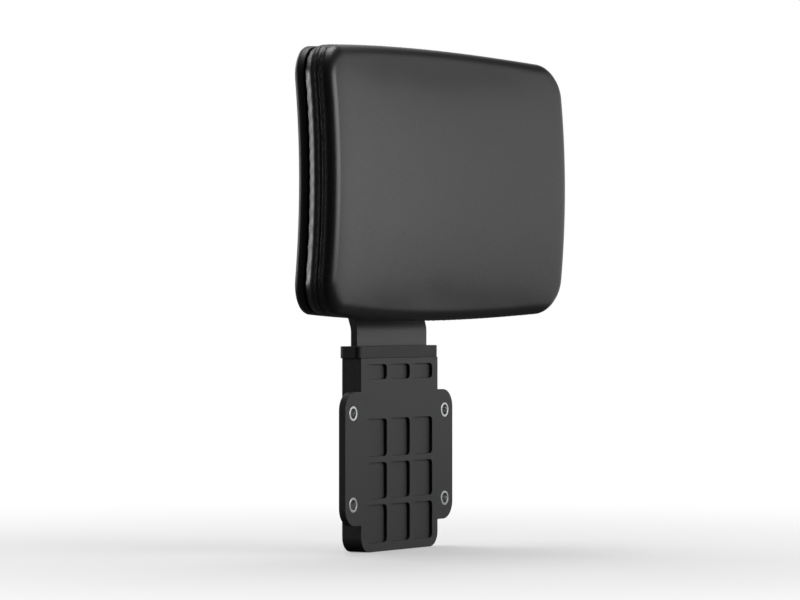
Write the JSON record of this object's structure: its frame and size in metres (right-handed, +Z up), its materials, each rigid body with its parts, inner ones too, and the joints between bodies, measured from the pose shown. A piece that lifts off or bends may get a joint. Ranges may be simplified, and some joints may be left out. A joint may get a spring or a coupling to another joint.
{
  "type": "chair headrest attachment",
  "caption": "Upholstered headrest pad that tilts on a flat steel blade, which slides and clicks up and down in a receiver bolted behind an office chair's back.",
  "frame": {"origin": "centre of the four-hole bolt pattern, on the receiver's mounting face", "axes": "+Z up, -Y the way the pad faces and the mounting face's normal towards the chair's back, +X to the right seen from the front"},
  "size_m": [0.3, 0.0874, 0.333],
  "materials": {
    "upholstery": "satin",
    "foam": "matte",
    "plywood": "matte",
    "shell_plastic": "satin",
    "receiver_plastic": "matte",
    "coated_steel": "satin",
    "zinc_steel": "satin",
    "black_screw": "satin",
    "spring_steel": "satin",
    "brass": "satin",
    "acetal": "satin"
  },
  "bodies": {
    "receiver": {"receiver_base": "receiver_plastic", "channel_frame": "receiver_plastic", "receiver_cover": "receiver_plastic", "top_bezel": "receiver_plastic", "mount_sleeves": "zinc_steel", "front_glides": "acetal", "rear_glides": "acetal", "stop_screws": "zinc_steel", "stop_inserts": "brass", "cover_screws": "black_screw", "detent_spring": "spring_steel", "detent_spring_screw": "zinc_steel"},
    "slider": {"blade": "coated_steel", "eye_bushes": "acetal"},
    "pad": {"left_tilt_bracket": "coated_steel", "right_tilt_bracket": "coated_steel", "bracket_screws": "zinc_steel", "tee_nuts": "zinc_steel", "carrier_board": "plywood", "foam_core": "foam", "pad_cover": "upholstery", "cover_staples": "zinc_steel", "rear_shell": "shell_plastic", "shell_screws": "black_screw", "tilt_axle": "zinc_steel", "axle_washers": "zinc_steel", "spring_washers": "spring_steel", "axle_nut": "zinc_steel"}
  },
  "joints": [
    {"name": "height_slide", "type": "slide", "parent": "receiver", "child": "slider", "axis": [0, 0, 1], "range_m": [0, 0.06], "deforming": ["detent_spring"]},
    {"name": "pad_tilt", "type": "hinge", "parent": "slider", "child": "pad", "pos_m": [0, 0.0205, 0.166], "axis": [1, 0, 0], "range_deg": [-25, 3]}
  ]
}
